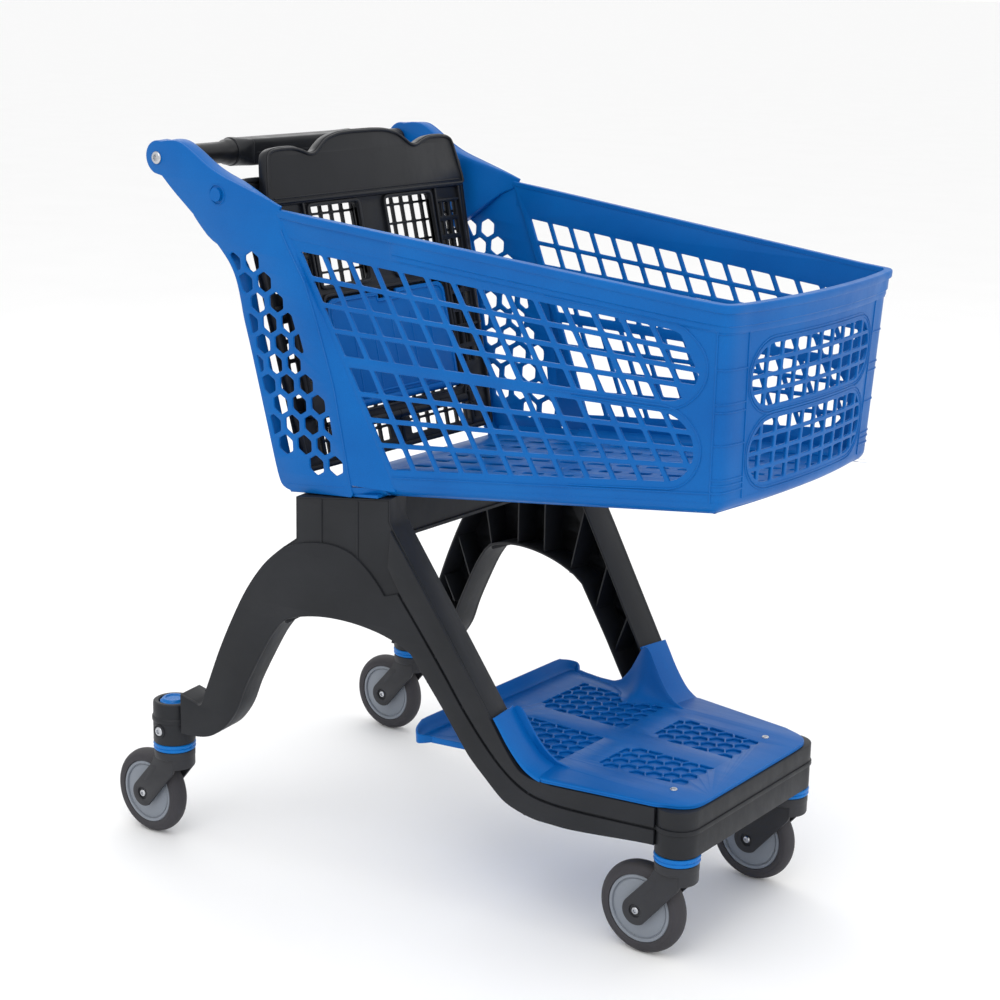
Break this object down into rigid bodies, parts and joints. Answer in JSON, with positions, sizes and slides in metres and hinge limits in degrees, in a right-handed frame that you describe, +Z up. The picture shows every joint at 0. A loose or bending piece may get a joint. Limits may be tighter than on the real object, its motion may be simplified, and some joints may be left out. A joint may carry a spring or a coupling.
{
  "type": "shopping trolley",
  "caption": "Nesting supermarket trolley with a tapering lattice basket, splayed side frames, swinging rear gate with folding child seat, lower tray and swivel casters.",
  "frame": {"origin": "on the floor, at the middle of the outline", "axes": "+X towards the front of the trolley, +Y towards its left side, +Z up"},
  "size_m": [0.9773, 0.607, 1.0128],
  "materials": {
    "blue_moulding": "satin moulded polypropylene",
    "black_moulding": "fine grained moulded polypropylene",
    "handle_black": "satin",
    "fork_grey": "glass filled nylon",
    "hub_grey": "satin",
    "tyre": "smooth rubber tread",
    "steel": "zinc plated"
  },
  "bodies": {
    "cart": {"basket_side_right": "blue_moulding", "basket_side_left": "blue_moulding", "basket_cheek_right": "blue_moulding", "basket_cheek_left": "blue_moulding", "basket_front": "blue_moulding", "basket_floor": "blue_moulding", "lower_tray": "blue_moulding", "socket_caps": "blue_moulding", "gate_pins": "blue_moulding", "side_frame_right": "black_moulding", "side_frame_left": "black_moulding", "rear_sockets": "black_moulding", "front_crossmember": "black_moulding", "cross_beam": "black_moulding", "handle_tube": "handle_black", "handle_sleeve": "handle_black", "handle_screws": "steel", "socket_screws": "steel", "basket_bolts": "steel", "tray_screws": "steel", "ring_rear_right": "blue_moulding", "ring_rear_left": "blue_moulding", "ring_front_right": "blue_moulding", "ring_front_left": "blue_moulding"},
    "gate": {"gate_frame": "black_moulding", "gate_lugs": "black_moulding", "seat_back_pin": "steel"},
    "seat_back": {"seat_back": "black_moulding", "flap_pin": "steel"},
    "seat": {"seat_flap": "blue_moulding"},
    "caster_rear_right": {"fork_rear_right": "fork_grey", "axle_rear_right": "steel"},
    "wheel_rear_right": {"hub_rear_right": "hub_grey", "tyre_rear_right": "tyre"},
    "caster_rear_left": {"fork_rear_left": "fork_grey", "axle_rear_left": "steel"},
    "wheel_rear_left": {"hub_rear_left": "hub_grey", "tyre_rear_left": "tyre"},
    "caster_front_right": {"fork_front_right": "fork_grey", "axle_front_right": "steel"},
    "wheel_front_right": {"hub_front_right": "hub_grey", "tyre_front_right": "tyre"},
    "caster_front_left": {"fork_front_left": "fork_grey", "axle_front_left": "steel"},
    "wheel_front_left": {"hub_front_left": "hub_grey", "tyre_front_left": "tyre"}
  },
  "joints": [
    {"name": "gate_swing", "type": "hinge", "parent": "cart", "child": "gate", "pos_m": [-0.28325, 0, 0.937], "axis": [0, -1, 0], "range_deg": [0, 72]},
    {"name": "seat_back_fold", "type": "hinge", "parent": "gate", "child": "seat_back", "pos_m": [-0.17657, 0, 0.61793], "axis": [0, 1, 0], "range_deg": [0, 28]},
    {"name": "seat_fold", "type": "hinge", "parent": "seat_back", "child": "seat", "pos_m": [-0.18348, 0, 0.64301], "axis": [0, 1, 0], "range_deg": [0, 76]},
    {"name": "swivel_rear_right", "type": "hinge", "parent": "cart", "child": "caster_rear_right", "pos_m": [-0.37925, -0.2705, 0.17], "axis": [0, 0, 1], "continuous": true},
    {"name": "spin_rear_right", "type": "hinge", "parent": "caster_rear_right", "child": "wheel_rear_right", "pos_m": [-0.42625, -0.2705, 0.0625], "axis": [0, 1, 0], "continuous": true},
    {"name": "swivel_rear_left", "type": "hinge", "parent": "cart", "child": "caster_rear_left", "pos_m": [-0.37925, 0.2705, 0.17], "axis": [0, 0, 1], "continuous": true},
    {"name": "spin_rear_left", "type": "hinge", "parent": "caster_rear_left", "child": "wheel_rear_left", "pos_m": [-0.42625, 0.2705, 0.0625], "axis": [0, 1, 0], "continuous": true},
    {"name": "swivel_front_right", "type": "hinge", "parent": "cart", "child": "caster_front_right", "pos_m": [0.38975, -0.1427, 0.17], "axis": [0, 0, 1], "continuous": true},
    {"name": "spin_front_right", "type": "hinge", "parent": "caster_front_right", "child": "wheel_front_right", "pos_m": [0.34275, -0.1427, 0.0625], "axis": [0, 1, 0], "continuous": true},
    {"name": "swivel_front_left", "type": "hinge", "parent": "cart", "child": "caster_front_left", "pos_m": [0.38975, 0.1427, 0.17], "axis": [0, 0, 1], "continuous": true},
    {"name": "spin_front_left", "type": "hinge", "parent": "caster_front_left", "child": "wheel_front_left", "pos_m": [0.34275, 0.1427, 0.0625], "axis": [0, 1, 0], "continuous": true}
  ]
}
